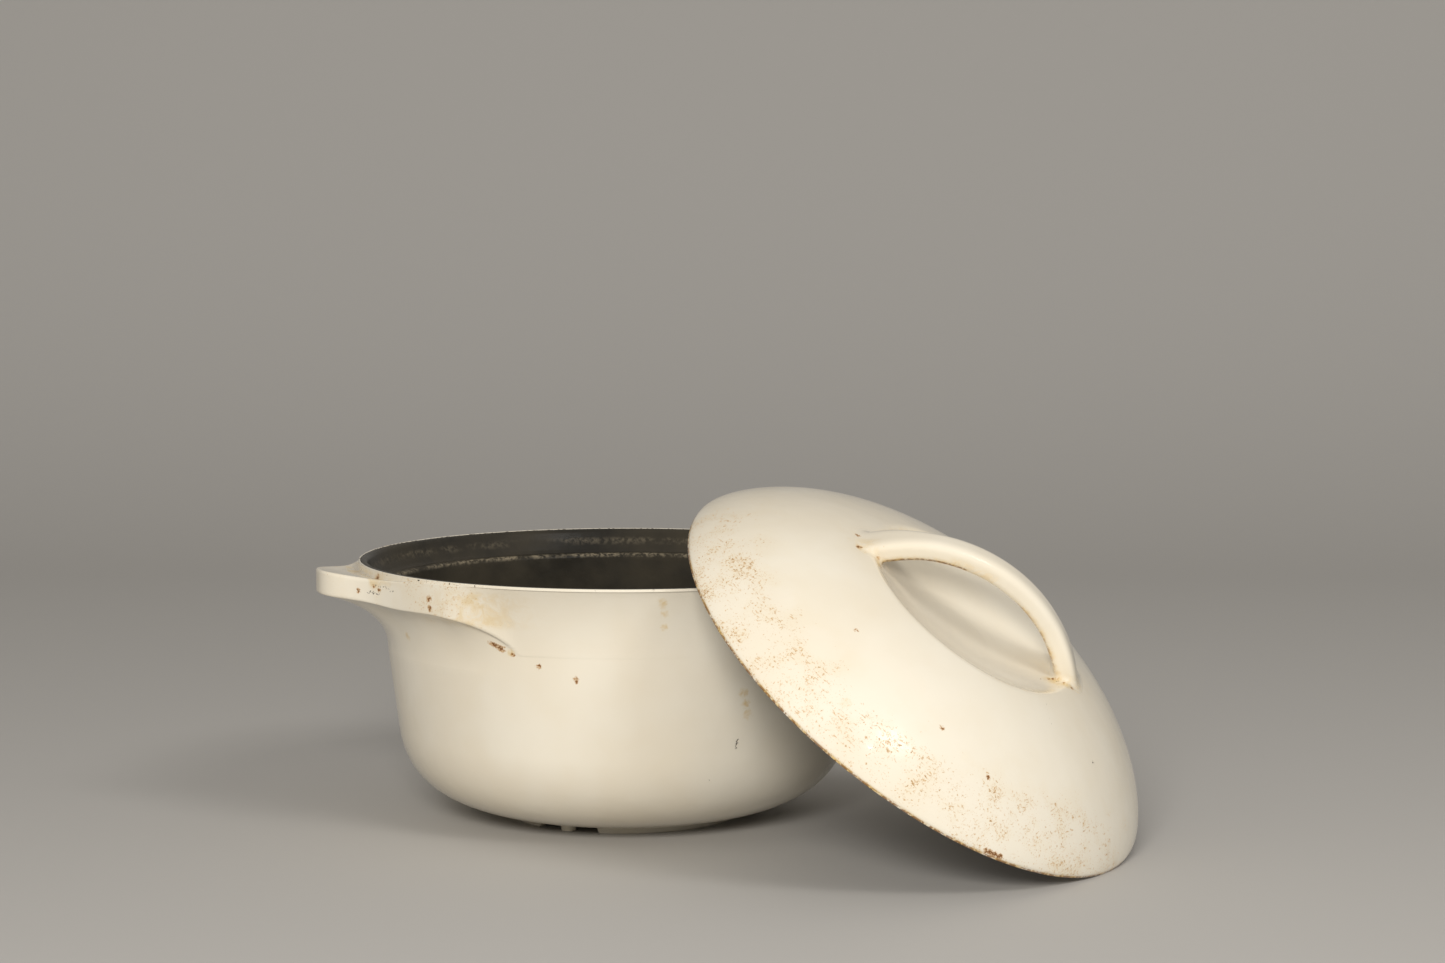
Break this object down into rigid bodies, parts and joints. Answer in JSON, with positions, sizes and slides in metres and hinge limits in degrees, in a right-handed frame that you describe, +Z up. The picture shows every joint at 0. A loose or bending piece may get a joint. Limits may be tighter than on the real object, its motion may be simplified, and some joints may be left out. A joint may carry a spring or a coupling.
{
  "type": "cast iron dutch oven",
  "caption": "Round enamelled cast iron dutch oven with pointed wing lugs, a black lined bore and a domed lid with an arched bar in a dish, leaning on the rim.",
  "frame": {"origin": "on the pot's axis, in the plane that the foot ring stands on", "axes": "+Z up along the pot's axis; X runs through the two lugs; the lid leans on the rim at the +X, -Y side"},
  "size_m": [0.3457, 0.3509, 0.1558],
  "materials": {
    "white_enamel": "glossy off-white vitreous enamel over cast iron, stained and chipped",
    "black_enamel": "semi-gloss black enamel over cast iron"
  },
  "bodies": {
    "pot": {"pot_casting": "white_enamel", "pot_lining": "black_enamel"},
    "lid": {"lid_casting": "white_enamel", "lid_lining": "black_enamel"}
  },
  "joints": [
    {"name": "lid_lift", "type": "slide", "parent": "pot", "child": "lid", "axis": [0.4458, -0.4537, 0.7716], "range_m": [0, 0.25]}
  ]
}
